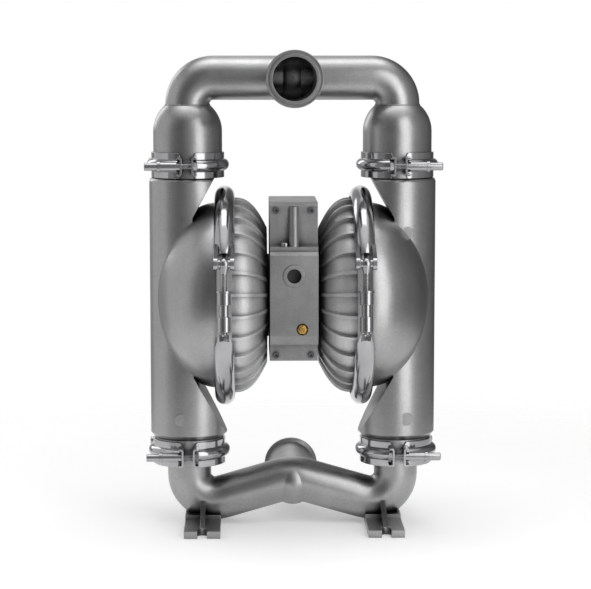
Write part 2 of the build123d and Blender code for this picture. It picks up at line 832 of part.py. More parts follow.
def chamber_band(start_angle, sweep_angle):
    """A length of the round clamp band on the right, from an angle above the front."""
    start = Plane(
        (0, 0, pump_axis_z),
        x_dir=(1, 0, 0),
        z_dir=(0, -sin(radians(start_angle)), -cos(radians(start_angle))),
    )
    with BuildPart() as band:
        with BuildSketch(start):
            with BuildLine():
                Polyline(
                    (clamp_plane_x - chamber_band_width / 2, chamber_band_shoulder_r),
                    (clamp_plane_x - chamber_band_width / 2, chamber_band_lip_r),
                    (clamp_plane_x + chamber_band_width / 2, chamber_band_lip_r),
                    (clamp_plane_x + chamber_band_width / 2, chamber_band_shoulder_r),
                )
                ThreePointArc(
                    (clamp_plane_x + chamber_band_width / 2, chamber_band_shoulder_r),
                    (clamp_plane_x, chamber_band_r),
                    (clamp_plane_x - chamber_band_width / 2, chamber_band_shoulder_r),
                )
            make_face()
        revolve(axis=pump_axis, revolution_arc=sweep_angle)
    return band.part


with BuildPart() as chamber_clamp_upper:
    add(chamber_band(band_high_angle, -(180 - 2 * band_high_angle)))
    with BuildSketch(
        Plane.YZ.offset(clamp_plane_x - lug_gap / 2 - lug_thickness),
        Plane.YZ.offset(clamp_plane_x + lug_gap / 2),
    ):
        with Locations(tee_top):
            Circle(tee_head_d / 2 + ear_web)
        with Locations(
            around_axis(rim_r, band_high_angle + tee_mid_angle),
            around_axis(rim_r, band_high_angle + 2),
        ):
            Circle(ear_web)
        make_hull()
        with Locations(tee_top):
            Circle(tee_head_d / 2 + joint_clearance, mode=Mode.SUBTRACT)
    extrude(amount=lug_thickness)
    mirror(about=Plane.XZ)
    add(chamber_groove.part, mode=Mode.SUBTRACT)
write_pair(chamber_clamp_upper.part, "chamber_clamp_upper")

nose_top_z = around_axis(chamber_band_r, band_low_angle)[1]
nose_low_z = around_axis(chamber_band_r, band_nose_angle)[1]
with BuildPart() as chamber_clamp_lower:
    add(chamber_band(band_low_angle, 180 + 2 * band_low_angle))
    with BuildSketch(Plane.XZ):
        for side in (-1, 1):
            with BuildLine():
                Polyline(
                    (clamp_plane_x + side * band_nose_width / 2, nose_top_z),
                    (clamp_plane_x + side * chamber_band_width / 2, nose_low_z),
                    (clamp_plane_x + side * chamber_band_width, nose_low_z),
                    (clamp_plane_x + side * chamber_band_width, pump_axis_z),
                    (clamp_plane_x + side * band_nose_width / 2, pump_axis_z),
                    close=True,
                )
            make_face()
    extrude(amount=chamber_band_r, both=True, mode=Mode.SUBTRACT)
    with BuildSketch(Plane.YZ.offset(clamp_plane_x - tee_neck_d / 2)):
        with Locations(
            around_axis(tee_pin_r, tee_mid_angle - tee_half_angle),
            around_axis(rim_r, band_low_angle - tee_mid_angle),
            around_axis(rim_r, band_low_angle - 1),
        ):
            Circle(ear_web)
        make_hull()
    extrude(amount=tee_neck_d)
    with BuildSketch(tee_plane.offset(tee_barrel_start)):
        Circle(tee_barrel_d / 2)
    extrude(amount=tee_barrel)
    with BuildSketch(tee_plane):
        Circle(tee_bolt_d / 2 + joint_clearance)
    extrude(amount=tee_end + tee_barrel, mode=Mode.SUBTRACT)
    mirror(about=Plane.XZ)
    add(chamber_groove.part, mode=Mode.SUBTRACT)
write_pair(chamber_clamp_lower.part, "chamber_clamp_lower")

with BuildPart() as chamber_clamp_bolts:
    with BuildSketch(Plane.YZ.offset(clamp_plane_x)):
        with Locations(tee_top):
            Circle(tee_head_d / 2)
    extrude(amount=tee_head_length / 2, both=True)
    with Locations((clamp_plane_x, *tee_top)):
        Sphere(tee_knob_d / 2)
    with BuildSketch(tee_plane):
        Circle(tee_bolt_d / 2)
    extrude(amount=tee_end + tee_bolt_d / 2)
    with Locations(tee_plane.offset((tee_bolt_d + tee_knob_taper) / 2)):
        Cone(tee_knob_cone_d / 2, tee_bolt_d / 2, tee_knob_taper)
    mirror(about=Plane.XZ)
    mirror(about=Plane.YZ)
chamber_clamp_bolts.part.label = "chamber_clamp_bolts"
export_step(chamber_clamp_bolts.part, "parts/chamber_clamp_bolts.step")

with BuildPart() as chamber_clamp_nuts:
    for start, length, diameter in (
        (tee_nut_start, tee_collar, tee_collar_d),
        (tee_nut_start + tee_collar, tee_sleeve, tee_nut_d),
        (tee_nut_end, tee_neck, tee_neck_d),
    ):
        with BuildSketch(tee_plane.offset(start)):
            Circle(diameter / 2)
            Circle(tee_bolt_d / 2 + thread_clearance, mode=Mode.SUBTRACT)
        extrude(amount=length)
    mirror(about=Plane.XZ)
    mirror(about=Plane.YZ)
chamber_clamp_nuts.part.label = "chamber_clamp_nuts"
export_step(chamber_clamp_nuts.part, "parts/chamber_clamp_nuts.step")


# ---- Centre block ----
screw_places = [
    (across, height) for across in (-screw_x, screw_x) for height in (screw_low_z, screw_high_z)
]
block_height = block_top_z - block_bottom_z
block_mid_z = (block_top_z + block_bottom_z) / 2

with BuildPart() as center_block:
    with BuildSketch(Plane.XY.offset(block_bottom_z)):
        Rectangle(block_width, block_depth)
    extrude(amount=block_height)
    fillet(center_block.edges().filter_by(Axis.Z).group_by(Axis.Y)[-1], block_corner)
    with BuildSketch(Plane.YZ):
        with Locations((0, pump_axis_z)):
            Circle(block_boss_r)
    extrude(amount=block_face_x, both=True)
    with BuildSketch(Plane.XZ.offset(-block_depth / 2)):
        with Locations((0, muffler_z)):
            Circle(muffler_d / 2 + block_corner)
    extrude(amount=-gasket)
    with BuildSketch(Plane.YZ):
        with Locations((0, pump_axis_z)):
            Circle(shaft_d / 2 + block_shaft_gap)
    extrude(amount=block_width, both=True, mode=Mode.SUBTRACT)
    with BuildSketch(Plane.YZ.offset(block_face_x - bushing_length - seal_length)):
        with Locations((0, pump_axis_z)):
            Circle(bushing_d / 2)
    extrude(amount=bushing_length + seal_length, mode=Mode.SUBTRACT)
    with BuildSketch(Plane.YZ.offset(bushing_length + seal_length - block_face_x)):
        with Locations((0, pump_axis_z)):
            Circle(bushing_d / 2)
    extrude(amount=-bushing_length - seal_length, mode=Mode.SUBTRACT)
    for side in (-1, 1):
        with BuildSketch(Plane.YZ.offset(side * block_face_x)):
            with Locations((0, pump_axis_z)):
                with PolarLocations(chamber_screw_r, 4, start_angle=45):
                    Circle(chamber_screw_d / 2 + thread_clearance)
        extrude(amount=-side * (chamber_screw_grip + gasket), mode=Mode.SUBTRACT)
    with BuildSketch(Plane.XZ.offset(block_depth / 2)):
        with Locations(*screw_places):
            Circle(screw_d / 2 + thread_clearance)
    extrude(amount=-screw_length, mode=Mode.SUBTRACT)
    with BuildSketch(Plane.XZ.offset(-block_depth / 2 - gasket)):
        with Locations((0, muffler_z)):
            Circle(muffler_neck_d / 2 + thread_clearance)
    extrude(amount=muffler_thread + gasket, mode=Mode.SUBTRACT)
center_block.part.label = "center_block"
export_step(center_block.part, "parts/center_block.step")

with BuildPart() as air_valve_gasket:
    with BuildSketch(Plane.XZ.offset(block_depth / 2)):
        with Locations((0, block_mid_z)):
            Rectangle(block_width - gasket, block_height - gasket)
        with Locations(*screw_places):
            Circle(screw_d / 2 + joint_clearance, mode=Mode.SUBTRACT)
    extrude(amount=gasket)
air_valve_gasket.part.label = "air_valve_gasket"
export_step(air_valve_gasket.part, "parts/air_valve_gasket.step")

# ---- Air valve ----
sleeve_r = spool_d / 2 + running_fit + sleeve_wall
sleeve_length = end_cap_plug + spool_length + spool_travel

gusset_high = (-plate_back_y - gusset_width / 2 - gasket, gusset_top_z)
gusset_low = (gusset_width / 2 - head_ridge_y, head_top_z - head_step)
gusset_line = Vector(0, gusset_low[0] - gusset_high[0], gusset_low[1] - gusset_high[1])

with BuildPart() as air_valve_body:
    with BuildSketch(Plane.XZ.offset(plate_back_y)):
        with Locations((0, block_mid_z)):
            Rectangle(block_width, block_height)
    extrude(amount=plate_thickness)
    chamfer(air_valve_body.edges().filter_by(Axis.X).group_by(Axis.Z)[-1].sort_by(Axis.Y)[0], plate_chamfer)
    with BuildSketch(Plane.YZ):
        with BuildLine():
            Polyline(
                (-plate_back_y, head_bottom_z),
                (-head_ridge_y, head_bottom_z),
                (-head_ridge_y - head_step, head_bottom_z + head_step),
                (-head_face_y, head_face_bottom_z),
                (-head_face_y, head_face_top_z),
                (-head_ridge_y - 2 * head_step, head_step_z),
                (-head_ridge_y, head_step_z),
                (-head_ridge_y, head_top_z),
                (-plate_back_y, head_top_z),
                close=True,
            )
        make_face()
    extrude(amount=block_width / 2, both=True)
    with BuildSketch(Plane.YZ):
        with BuildLine():
            Polyline(
                (-plate_back_y, gusset_top_z),
                gusset_high,
                gusset_low,
                (-plate_back_y, gusset_low[1]),
                close=True,
            )
        make_face()
    extrude(amount=gusset_width / 2, both=True)
    with BuildSketch(Plane((0, *gusset_high), z_dir=gusset_line)):
        Circle(gusset_width / 2)
    extrude(amount=gusset_line.length)
    with BuildSketch(Plane.XZ.offset(head_face_y)):
        with Locations((0, air_inlet_z)):
            Circle(air_inlet_boss_d / 2)
    extrude(amount=air_inlet_boss_rise, taper=20)
    with BuildSketch(Plane.XZ.offset(head_face_y + air_inlet_boss_rise)):
        with Locations((0, air_inlet_z)):
            Circle(air_inlet_d / 2)
    extrude(amount=-air_inlet_depth, mode=Mode.SUBTRACT)
    with BuildSketch(Plane.XZ.offset(plate_back_y)):
        with Locations(*screw_places):
            Circle(screw_d / 2 + joint_clearance)
    extrude(amount=plate_thickness, mode=Mode.SUBTRACT)
    with BuildSketch(Plane.XZ.offset(head_face_y)):
        with Locations((brass_plug_x, brass_plug_z)):
            Circle(brass_plug_pocket_d / 2)
    extrude(amount=-brass_plug_pocket_depth, mode=Mode.SUBTRACT)
    with BuildSketch(Plane.XZ.offset(head_face_y - brass_plug_pocket_depth)):
        with Locations((brass_plug_x, brass_plug_z)):
            Circle(brass_plug_shank_d / 2 + thread_clearance)
    extrude(amount=-brass_plug_shank, mode=Mode.SUBTRACT)
    with BuildSketch(Plane.XY.offset(head_top_z)):
        with Locations((cap_x, -cap_y)):
            Circle(cap_shank_d / 2 + thread_clearance)
    extrude(amount=-cap_shank, mode=Mode.SUBTRACT)
    with BuildSketch(Plane.XY.offset(head_bottom_z)):
        with Locations((0, -spool_y)):
            Circle(sleeve_r)
    extrude(amount=sleeve_length, mode=Mode.SUBTRACT)
air_valve_body.part.label = "air_valve_body"
export_step(air_valve_body.part, "parts/air_valve_body.step")

with BuildPart() as air_valve_sleeve:
    with BuildSketch(Plane.XY.offset(head_bottom_z)):
        with Locations((0, -spool_y)):
            Circle(sleeve_r)
            Circle(spool_d / 2 + running_fit, mode=Mode.SUBTRACT)
    extrude(amount=sleeve_length)
    with BuildSketch(Plane.XZ.offset(spool_y)):
        with Locations((0, head_bottom_z + end_cap_plug + (spool_length + spool_travel) / 2)):
            with GridLocations(0, sleeve_port_spacing * spool_length, 1, 3):
                Circle(sleeve_port_d / 2)
    extrude(amount=spool_d, both=True, mode=Mode.SUBTRACT)
air_valve_sleeve.part.label = "air_valve_sleeve"
export_step(air_valve_sleeve.part, "parts/air_valve_sleeve.step")

with BuildPart() as air_valve_spool:
    with BuildSketch(Plane.XY.offset(head_bottom_z + end_cap_plug)):
        with Locations((0, -spool_y)):
            Circle(spool_waist_d / 2)
    extrude(amount=spool_length)
    for start in (0, (spool_length - spool_land) / 2, spool_length - spool_land):
        with BuildSketch(Plane.XY.offset(head_bottom_z + end_cap_plug + start)):
            with Locations((0, -spool_y)):
                Circle(spool_d / 2)
        extrude(amount=spool_land)
air_valve_spool.part.label = "air_valve_spool"
export_step(air_valve_spool.part, "parts/air_valve_spool.step")

with BuildPart() as air_valve_end_cap:
    with BuildSketch(Plane.XY.offset(head_bottom_z)):
        with Locations((0, -spool_y)):
            Circle(spool_d / 2)
    extrude(amount=end_cap_plug)
    with BuildSketch(Plane.XY.offset(head_bottom_z)):
        with Locations((0, -spool_y)):
            RegularPolygon(end_cap_socket / 2, 6, major_radius=False)
    extrude(amount=end_cap_plug / 2, mode=Mode.SUBTRACT)
air_valve_end_cap.part.label = "air_valve_end_cap"
export_step(air_valve_end_cap.part, "parts/air_valve_end_cap.step")

with BuildPart() as air_valve_screws:
    for place in screw_places:
        with BuildSketch(Plane.XZ.offset(plate_front_y)):
            with Locations(place):
                Circle(screw_head_d / 2)
        extrude(amount=screw_head_height)
        with BuildSketch(Plane.XZ.offset(plate_front_y + screw_head_height)):
            with Locations(place):
                RegularPolygon(screw_socket_d / 2, 6, major_radius=False)
        extrude(amount=-screw_head_height / 2, mode=Mode.SUBTRACT)
        with BuildSketch(Plane.XZ.offset(plate_front_y)):
            with Locations(place):
                Circle(screw_d / 2)
        extrude(amount=-screw_length)
air_valve_screws.part.label = "air_valve_screws"
export_step(air_valve_screws.part, "parts/air_valve_screws.step")

with BuildPart() as brass_plug:
    with BuildSketch(Plane.XZ.offset(head_face_y - brass_plug_pocket_depth)):
        with Locations((brass_plug_x, brass_plug_z)):
            RegularPolygon(brass_plug_d / 2, 6, major_radius=False)
    extrude(amount=brass_plug_pocket_depth + brass_plug_rise / 2)
    with BuildSketch(Plane.XZ.offset(head_face_y + brass_plug_rise / 2)):
        with Locations((brass_plug_x, brass_plug_z)):
            Circle(brass_plug_d / 2 - head_step / 2)
    extrude(amount=brass_plug_rise / 2, taper=20)
    with BuildSketch(Plane.XZ.offset(head_face_y - brass_plug_pocket_depth)):
        with Locations((brass_plug_x, brass_plug_z)):
            Circle(brass_plug_shank_d / 2)
    extrude(amount=-brass_plug_shank)
brass_plug.part.label = "brass_plug"
export_step(brass_plug.part, "parts/brass_plug.step")

with BuildPart() as ridge_cap:
    with BuildSketch(Plane.XY.offset(head_top_z)):
        with Locations((cap_x, -cap_y)):
            Circle(cap_d / 2)
    extrude(amount=cap_rise)
    fillet(ridge_cap.edges().sort_by(Axis.Z)[-1], cap_round)
    with BuildSketch(Plane.XY.offset(head_top_z)):
        with Locations((cap_x, -cap_y)):
            Circle(cap_shank_d / 2)
    extrude(amount=-cap_shank)
ridge_cap.part.label = "ridge_cap"
export_step(ridge_cap.part, "parts/ridge_cap.step")

with BuildPart() as exhaust_muffler:
    muffler_face_y = block_depth / 2 + gasket
    with BuildSketch(Plane.YZ):
        with BuildLine():
            Polyline(
                (muffler_face_y - muffler_thread, muffler_z),
                (muffler_face_y - muffler_thread, muffler_z + muffler_neck_d / 2),
                (muffler_face_y + muffler_neck, muffler_z + muffler_neck_d / 2),
                (muffler_face_y + muffler_neck, muffler_z + muffler_d / 2),
                (muffler_face_y + muffler_length - muffler_crown, muffler_z + muffler_d / 2),
            )
            RadiusArc(
                (muffler_face_y + muffler_length - muffler_crown, muffler_z + muffler_d / 2),
                (muffler_face_y + muffler_length, muffler_z + muffler_d / 2 - muffler_crown),
                muffler_crown,
            )
            Polyline(
                (muffler_face_y + muffler_length, muffler_z + muffler_d / 2 - muffler_crown),
                (muffler_face_y + muffler_length, muffler_z),
                (muffler_face_y - muffler_thread, muffler_z),
            )
        make_face()
    revolve(axis=Axis((0, 0, muffler_z), (0, 1, 0)))
exhaust_muffler.part.label = "exhaust_muffler"
export_step(exhaust_muffler.part, "parts/exhaust_muffler.step")

# ---- Shaft, bushings and seals ----
hub_low_x = clamp_plane_x - diaphragm_thickness / 2 - diaphragm_gap
hub_high_x = clamp_plane_x + diaphragm_thickness / 2 + diaphragm_gap
shoulder_x = hub_low_x - plate_thick
stud_end_x = hub_high_x + plate_thick

with BuildPart() as main_shaft:
    with BuildSketch(Plane.YZ):
        with Locations((0, pump_axis_z)):
            Circle(shaft_d / 2)
    extrude(amount=shoulder_x, both=True)
    with BuildSketch(Plane.YZ):
        with Locations((0, pump_axis_z)):
            Circle(stud_d / 2)
    extrude(amount=stud_end_x, both=True)
main_shaft.part.label = "main_shaft"
export_step(main_shaft.part, "parts/main_shaft.step")

with BuildPart() as shaft_bushings:
    with BuildSketch(Plane.YZ.offset(block_face_x - seal_length - bushing_length)):
        with Locations((0, pump_axis_z)):
            Circle(bushing_d / 2)
            Circle(shaft_d / 2 + shaft_fit, mode=Mode.SUBTRACT)
    extrude(amount=bushing_length)
    mirror(about=Plane.YZ)
shaft_bushings.part.label = "shaft_bushings"
export_step(shaft_bushings.part, "parts/shaft_bushings.step")

with BuildPart() as shaft_seals:
    with BuildSketch(Plane.YZ.offset(block_face_x - seal_length)):
        with Locations((0, pump_axis_z)):
            Circle(bushing_d / 2)
            Circle(shaft_d / 2 + shaft_fit, mode=Mode.SUBTRACT)
    extrude(amount=seal_length)
    mirror(about=Plane.YZ)
shaft_seals.part.label = "shaft_seals"
export_step(shaft_seals.part, "parts/shaft_seals.step")

with BuildPart() as air_chamber_gaskets:
    with BuildSketch(Plane.YZ.offset(block_face_x)):
        with Locations((0, pump_axis_z)):
            Circle(block_boss_r)
            Circle(air_bore_r, mode=Mode.SUBTRACT)
            with PolarLocations(chamber_screw_r, 4, start_angle=45):
                Circle(chamber_screw_d / 2 + joint_clearance, mode=Mode.SUBTRACT)
    extrude(amount=gasket)
    mirror(about=Plane.YZ)
air_chamber_gaskets.part.label = "air_chamber_gaskets"
export_step(air_chamber_gaskets.part, "parts/air_chamber_gaskets.step")

with BuildPart() as air_chamber_screws:
    with BuildSketch(Plane.YZ.offset(air_floor_x)):
        with Locations((0, pump_axis_z)):
            with PolarLocations(chamber_screw_r, 4, start_angle=45):
                Circle(chamber_screw_head_d / 2)
    extrude(amount=chamber_screw_head)
    with BuildSketch(Plane.YZ.offset(air_floor_x)):
        with Locations((0, pump_axis_z)):
            with PolarLocations(chamber_screw_r, 4, start_angle=45):
                Circle(chamber_screw_d / 2)
    extrude(amount=-(air_floor_x - air_face_x) - chamber_screw_grip)
    mirror(about=Plane.YZ)
air_chamber_screws.part.label = "air_chamber_screws"
export_step(air_chamber_screws.part, "parts/air_chamber_screws.step")

# ---- Diaphragms and their plates ----
with BuildPart() as inner_plate:
    with BuildSketch(side_view):
        with BuildLine():
            Polyline(
                (shoulder_x, stud_d / 2 + shaft_fit),
                (shoulder_x, shaft_d),
                (hub_low_x - plate_thick / 2, inner_plate_r),
                (hub_low_x, inner_plate_r),
                (hub_low_x, stud_d / 2 + shaft_fit),
                close=True,
            )
        make_face()
    revolve(axis=pump_axis)
write_pair(inner_plate.part, "inner_plate")

with BuildPart() as outer_plate:
    with BuildSketch(side_view):
        with BuildLine():
            Polyline(
                (hub_high_x + plate_thick + outer_plate_dome, 0),
                (hub_high_x, 0),
                (hub_high_x, outer_plate_r),
                (hub_high_x + plate_thick / 3, outer_plate_r),
            )
            Bezier(
                (hub_high_x + plate_thick / 3, outer_plate_r),
                (hub_high_x + plate_thick, outer_plate_r),
                (hub_high_x + plate_thick + outer_plate_dome, outer_plate_r / 2),
                (hub_high_x + plate_thick + outer_plate_dome, 0),
            )
        make_face()
    revolve(axis=pump_axis)
    with BuildSketch(Plane.YZ.offset(hub_high_x)):
        with Locations((0, pump_axis_z)):
            Circle(stud_d / 2 + shaft_fit)
    extrude(amount=plate_thick + shaft_fit, mode=Mode.SUBTRACT)
write_pair(outer_plate.part, "outer_plate")

with BuildPart() as diaphragm:
    half_skin = diaphragm_thickness / 2
    arch_high_r = air_rim_r - rib_height - air_wall - head_step
    arch_mid_r = (outer_plate_r + head_step + arch_high_r) / 2
    with BuildSketch(side_view):
        with BuildLine():
            Polyline(
                (clamp_plane_x + half_skin, outer_plate_r + head_step),
                (clamp_plane_x + half_skin, stud_d / 2 + diaphragm_gap),
                (clamp_plane_x - half_skin, stud_d / 2 + diaphragm_gap),
                (clamp_plane_x - half_skin, outer_plate_r + head_step),
            )
            ThreePointArc(
                (clamp_plane_x - half_skin, outer_plate_r + head_step),
                (clamp_plane_x - half_skin - diaphragm_arch_depth, arch_mid_r),
                (clamp_plane_x - half_skin, arch_high_r),
            )
            Polyline(
                (clamp_plane_x - half_skin, arch_high_r),
                (clamp_plane_x - half_skin, diaphragm_bead_high_r),
                (clamp_plane_x + half_skin, diaphragm_bead_high_r),
                (clamp_plane_x + half_skin, arch_high_r),
            )
            ThreePointArc(
                (clamp_plane_x + half_skin, arch_high_r),
                (clamp_plane_x + half_skin - diaphragm_arch_depth, arch_mid_r),
                (clamp_plane_x + half_skin, outer_plate_r + head_step),
            )
        make_face()
    revolve(axis=pump_axis)
write_pair(diaphragm.part, "diaphragm")


# ---- Check valves ----
def valve_seat(joint_z):
    """A rimmed seat ring pinched in a joint, hollowed to the shape of its ball."""
    with BuildPart() as seat:
        with BuildSketch(Plane.XY.offset(joint_z - seat_rim / 2)):
            with Locations((column_x, 0)):
                Circle(flange_r)
        extrude(amount=seat_rim)
        with BuildSketch(Plane.XY.offset(joint_z - seat_rim / 2)):
            with Locations((column_x, 0)):
                Circle(seat_hub_d / 2)
        extrude(amount=seat_hub_height + seat_rim / 2)
        with BuildSketch(Plane.XY.offset(joint_z - seat_rim / 2)):
            with Locations((column_x, 0)):
                Circle(seat_bore / 2)
        extrude(amount=seat_hub_height + seat_rim, mode=Mode.SUBTRACT)
        with Locations((column_x, 0, joint_z + ball_rest_height)):
            Sphere(ball_r + ball_clearance, mode=Mode.SUBTRACT)
        with BuildSketch(Plane.XY.offset(joint_z + seat_rim / 2)):
            with Locations((column_x, 0)):
                Circle(seal_radius + seal_section / 2 + seal_groove_clearance)
                Circle(seal_radius - seal_section / 2 - seal_groove_clearance, mode=Mode.SUBTRACT)
        extrude(amount=-seal_section, mode=Mode.SUBTRACT)
    return seat.part


for valve_name, joint_z in (("discharge", top_joint_z), ("inlet", bottom_joint_z)):
    write_pair(valve_seat(joint_z), f"{valve_name}_seat")
    with BuildPart() as check_ball:
        with Locations((column_x, 0, joint_z + ball_rest_height)):
            Sphere(ball_r)
    write_pair(check_ball.part, f"{valve_name}_ball")

with BuildPart() as seat_seals:
    for joint_z in (top_joint_z, bottom_joint_z):
        with Locations((column_x, 0, joint_z + seat_rim / 2 - seal_section / 2)):
            Torus(seal_radius, seal_section / 2 - seal_groove_clearance / 2)
    mirror(about=Plane.YZ)
seat_seals.part.label = "seat_seals"
export_step(seat_seals.part, "parts/seat_seals.step")
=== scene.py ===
import json
import math

import bpy
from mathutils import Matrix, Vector


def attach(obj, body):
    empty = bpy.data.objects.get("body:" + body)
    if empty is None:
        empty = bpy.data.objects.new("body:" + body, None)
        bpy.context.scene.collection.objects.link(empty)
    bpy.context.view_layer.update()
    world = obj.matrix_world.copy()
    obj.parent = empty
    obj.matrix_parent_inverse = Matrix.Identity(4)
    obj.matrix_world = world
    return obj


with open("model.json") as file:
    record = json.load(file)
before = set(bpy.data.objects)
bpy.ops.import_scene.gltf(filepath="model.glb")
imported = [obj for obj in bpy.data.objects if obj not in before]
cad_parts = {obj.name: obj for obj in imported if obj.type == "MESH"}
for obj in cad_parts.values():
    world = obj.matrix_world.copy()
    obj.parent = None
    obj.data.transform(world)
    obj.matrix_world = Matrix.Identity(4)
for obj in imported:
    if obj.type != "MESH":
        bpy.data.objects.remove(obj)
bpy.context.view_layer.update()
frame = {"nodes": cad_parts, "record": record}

# ---------------------------------------------------------------- camera

IMAGE_WIDTH = 591
SENSOR_WIDTH = 36.0
CAMERA_PLACE = Vector((-0.0683, -2.900, 0.6666))
CAMERA_AIM = Vector((0.0041, 0.0, 0.3243))
METRES_PER_PIXEL = 0.0014084  # at the aim's distance

camera_data = bpy.data.cameras.new("camera")
camera_data.sensor_width = SENSOR_WIDTH
camera_data.lens = SENSOR_WIDTH * (CAMERA_AIM - CAMERA_PLACE).length / (IMAGE_WIDTH * METRES_PER_PIXEL)
camera_data.clip_end = 50
camera = bpy.data.objects.new("camera", camera_data)
bpy.context.scene.collection.objects.link(camera)
camera.location = CAMERA_PLACE
camera.rotation_mode = "QUATERNION"
camera.rotation_quaternion = (CAMERA_AIM - CAMERA_PLACE).to_track_quat("-Z", "Y")
bpy.context.scene.camera = camera

# ---------------------------------------------------------------- node helpers


class Shade:
    """One material, with short calls for the nodes it is made of."""

    def __init__(self, name):
        self.mat = bpy.data.materials.new(name)
        self.mat.use_nodes = True
        self.tree = self.mat.node_tree
        self.tree.nodes.clear()
        self.out = self.node("ShaderNodeOutputMaterial")
        self.shader = self.node("ShaderNodeBsdfPrincipled")
        self.link(self.shader.outputs["BSDF"], self.out.inputs["Surface"])
        self.place = self.node("ShaderNodeTexCoord").outputs["Object"]

    def node(self, kind, **settings):
        made = self.tree.nodes.new(kind)
        for key, value in settings.items():
            setattr(made, key, value)
        return made

    def link(self, source, target):
        self.tree.links.new(source, target)

    def set(self, **values):
        for key, value in values.items():
            self.shader.inputs[key.replace("_", " ")].default_value = value

    def stretched(self, scale):
        made = self.node("ShaderNodeMapping")
        made.inputs["Scale"].default_value = scale
        self.link(self.place, made.inputs["Vector"])
        return made.outputs["Vector"]

    def noise(self, scale, detail=3.0, roughness=0.55, stretch=None):
        made = self.node("ShaderNodeTexNoise")
        made.inputs["Scale"].default_value = scale
        made.inputs["Detail"].default_value = detail
        made.inputs["Roughness"].default_value = roughness
        self.link(self.stretched(stretch) if stretch else self.place, made.inputs["Vector"])
        return made.outputs["Fac"]

    def ramp(self, source, *stops):
        made = self.node("ShaderNodeValToRGB")
        ramp = made.color_ramp
        while len(ramp.elements) < len(stops):
            ramp.elements.new(0.5)
        for element, (at, colour) in zip(ramp.elements, stops):
            element.position = at
            element.color = (*colour, 1.0) if isinstance(colour, tuple) else (colour, colour, colour, 1.0)
        self.link(source, made.inputs["Fac"])
        return made.outputs["Color"]

    def mix(self, kind, factor, first, second):
        made = self.node("ShaderNodeMix", data_type="RGBA", blend_type=kind)
        for socket, value in (("Factor", factor), ("A", first), ("B", second)):
            inputs = [i for i in made.inputs if i.name == socket and i.enabled]
            if isinstance(value, bpy.types.NodeSocket):
                self.link(value, inputs[0])
            elif isinstance(value, tuple):
                inputs[0].default_value = (*value, 1.0)
            else:
                inputs[0].default_value = value
        return [o for o in made.outputs if o.enabled][0]

    def span(self, source, low, high):
        made = self.node("ShaderNodeMapRange")
        made.inputs["To Min"].default_value = low
        made.inputs["To Max"].default_value = high
        self.link(source, made.inputs["Value"])
        return made.outputs["Result"]

    def crevice(self, reach, samples=8):
        made = self.node("ShaderNodeAmbientOcclusion", samples=samples)
        made.inputs["Distance"].default_value = reach
        return made.outputs["AO"]

    def soft_edges(self, radius, samples=4):
        made = self.node("ShaderNodeBevel", samples=samples)
        made.inputs["Radius"].default_value = radius
        return made.outputs["Normal"]

    def bump(self, height, strength, distance, normal=None):
        made = self.node("ShaderNodeBump")
        made.inputs["Strength"].default_value = strength
        made.inputs["Distance"].default_value = distance
        self.link(height, made.inputs["Height"])
        if normal:
            self.link(normal, made.inputs["Normal"])
        return made.outputs["Normal"]

    def finish(self, colour=None, roughness=None, normal=None):
        for name, source in (("Base Color", colour), ("Roughness", roughness), ("Normal", normal)):
            if source:
                self.link(source, self.shader.inputs[name])
        return self.mat


def blasted_metal(name, dark, light, rough, grain, edge, streak=0.08, corner_shade=0.45, lump=0.25, deep=0.08):
    """A bead-blasted casting: fine pits, cloudy colour, painted shade in the corners and hollows, and soft
    edges.

    dark and light are the clouds' colours, rough the mean roughness, grain the strength of the pits and edge
    the radius of the corners. streak says how dark the runs get, the argument after it how dark the painted
    shade in the corners is, deep how much light the painted shade leaves in the deep hollows, and lump how
    uneven the skin is.
    """
    s = Shade(name)
    s.set(Metallic=1.0)
    clouds = s.ramp(s.noise(scale=9.0, detail=5.0, roughness=0.6), (0.30, dark), (0.70, light))
    speck = s.ramp(s.noise(scale=420.0, detail=2.0), (0.35, 0.80), (0.65, 1.0))
    rain = s.noise(scale=30.0, detail=4.0, stretch=(1.0, 1.0, 0.12))
    runs = s.ramp(rain, (0.35, 1.0 - streak), (0.65, 1.0))
    colour = s.mix("MULTIPLY", 0.5, s.mix("MULTIPLY", 1.0, clouds, runs), speck)
    # Painted shade: ambient occlusion darkens the colour in corners, creases and joints between parts.
    painted_corner_shade = s.ramp(s.crevice(reach=0.012), (0.25, 1.0 - corner_shade), (0.85, 1.0))
    colour = s.mix("MULTIPLY", 1.0, colour, painted_corner_shade)
    # Painted shade: a wider ambient occlusion darkens the colour deep in hollows and bores.
    painted_hollow_shade = s.ramp(s.crevice(reach=0.045), (0.10, deep), (0.45, 1.0))
    colour = s.mix("MULTIPLY", 1.0, colour, painted_hollow_shade)
    roughness = s.span(s.noise(scale=60.0, detail=4.0), low=rough - 0.07, high=rough + 0.07)
    skin = s.noise(scale=55.0, detail=3.0)
    normal = s.bump(skin, strength=lump, distance=0.0006, normal=s.soft_edges(edge))
    pits = s.noise(scale=1100.0, detail=2.0, roughness=0.6)
    normal = s.bump(pits, strength=grain, distance=0.0002, normal=normal)
    return s.finish(colour, roughness, normal)


def polished_metal(name, colour, rough, edge, scratch=0.10, corner_shade=0.35):
    """A polished pressing: fine hairlines, faint finger marks and painted shade in its corners."""
    s = Shade(name)
    s.set(Metallic=1.0)
    marks = tuple(channel * 0.86 for channel in colour)
    smear = s.ramp(s.noise(scale=22.0, detail=4.0), (0.35, marks), (0.65, colour))
    # Painted shade: ambient occlusion darkens the colour in corners and joints between parts.
    painted_corner_shade = s.ramp(s.crevice(reach=0.006), (0.20, 1.0 - corner_shade), (0.80, 1.0))
    tint = s.mix("MULTIPLY", 1.0, smear, painted_corner_shade)
    roughness = s.span(s.noise(scale=90.0, detail=5.0, roughness=0.65), low=rough * 0.6, high=rough * 1.5)
    hairs = s.noise(scale=260.0, detail=2.0, stretch=(1.0, 1.0, 0.04))
    normal = s.bump(hairs, strength=scratch, distance=0.0001, normal=s.soft_edges(edge))
    return s.finish(tint, roughness, normal)


